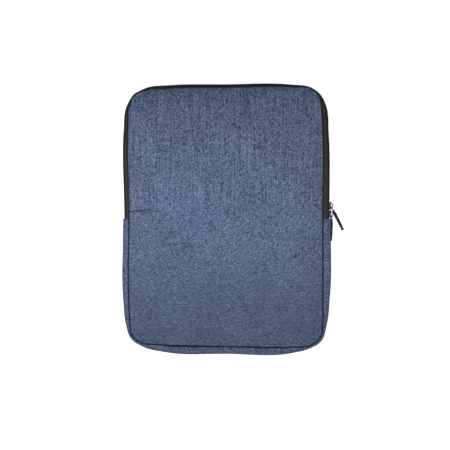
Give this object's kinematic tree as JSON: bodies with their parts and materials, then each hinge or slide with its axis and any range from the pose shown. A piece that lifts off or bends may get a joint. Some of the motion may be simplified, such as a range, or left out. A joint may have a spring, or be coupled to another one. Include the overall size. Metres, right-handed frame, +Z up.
{
  "type": "laptop sleeve",
  "caption": "Padded fabric pocket for a laptop, with rounded corners and a two-way zipper round its upper half.",
  "frame": {"origin": "middle of the back panel's outer face, on the surface that the sleeve lies on", "axes": "+Z up out of the front panel, +Y towards the zipped top edge, +X towards the side where the sliders are parked"},
  "size_m": [0.2866, 0.35, 0.022],
  "materials": {
    "heather_fabric": "mid blue melange weave",
    "lining_fabric": "soft dark plush",
    "padding_foam": "soft foam",
    "seam_binding": "woven tape",
    "zipper_tape": "charcoal woven tape",
    "zipper_coil": "black nylon coil",
    "seam_thread": "navy thread",
    "slider_metal": "satin black",
    "link_wire": "satin black",
    "pull_metal": "satin black",
    "pull_rubber": "matt black"
  },
  "bodies": {
    "sleeve": {"back_outer_panel": "heather_fabric", "back_foam_pad": "padding_foam", "back_lining": "lining_fabric", "front_outer_panel_lower": "heather_fabric", "front_foam_pad_lower": "padding_foam", "front_lining_lower": "lining_fabric", "gusset_outer_strip": "heather_fabric", "gusset_foam_strip": "padding_foam", "gusset_lining_strip": "lining_fabric", "back_seam_binding": "seam_binding", "front_seam_binding_lower": "seam_binding", "zipper_tape_back": "zipper_tape", "zipper_coil_back": "zipper_coil", "zipper_tape_front_ends": "zipper_tape", "zipper_coil_front_ends": "zipper_coil", "zipper_end_bartacks": "seam_thread"},
    "flap": {"front_outer_panel_flap": "heather_fabric", "front_foam_pad_flap": "padding_foam", "front_lining_flap": "lining_fabric", "front_seam_binding_flap": "seam_binding", "zipper_tape_front": "zipper_tape", "zipper_coil_front": "zipper_coil"},
    "lower_slider": {"lower_slider_body": "slider_metal", "lower_slider_crown": "slider_metal"},
    "upper_slider": {"upper_slider_body": "slider_metal", "upper_slider_crown": "slider_metal"},
    "lower_pull": {"lower_pull_link": "link_wire", "lower_pull_collar": "pull_metal", "lower_pull_grip": "pull_rubber", "lower_pull_tip": "pull_metal"},
    "upper_pull": {"upper_pull_link": "link_wire", "upper_pull_collar": "pull_metal", "upper_pull_grip": "pull_rubber", "upper_pull_tip": "pull_metal"}
  },
  "joints": [
    {"name": "flap_open", "type": "hinge", "parent": "sleeve", "child": "flap", "pos_m": [0, 0.0258, 0.0223], "axis": [1, 0, 0], "range_deg": [0, 60]},
    {"name": "lower_slider_travel", "type": "slide", "parent": "sleeve", "child": "lower_slider", "axis": [0, 1, 0], "range_m": [0, 0.045]},
    {"name": "upper_slider_travel", "type": "slide", "parent": "lower_slider", "child": "upper_slider", "axis": [0, 1, 0], "range_m": [0, 0.035]},
    {"name": "lower_pull_swing", "type": "hinge", "parent": "lower_slider", "child": "lower_pull", "pos_m": [0.1362, 0.00401, 0.011], "axis": [0, 0, 1], "range_deg": [0, 48]},
    {"name": "upper_pull_swing", "type": "hinge", "parent": "upper_slider", "child": "upper_pull", "pos_m": [0.1362, 0.01541, 0.011], "axis": [0, 0, 1], "range_deg": [0, 80]}
  ]
}
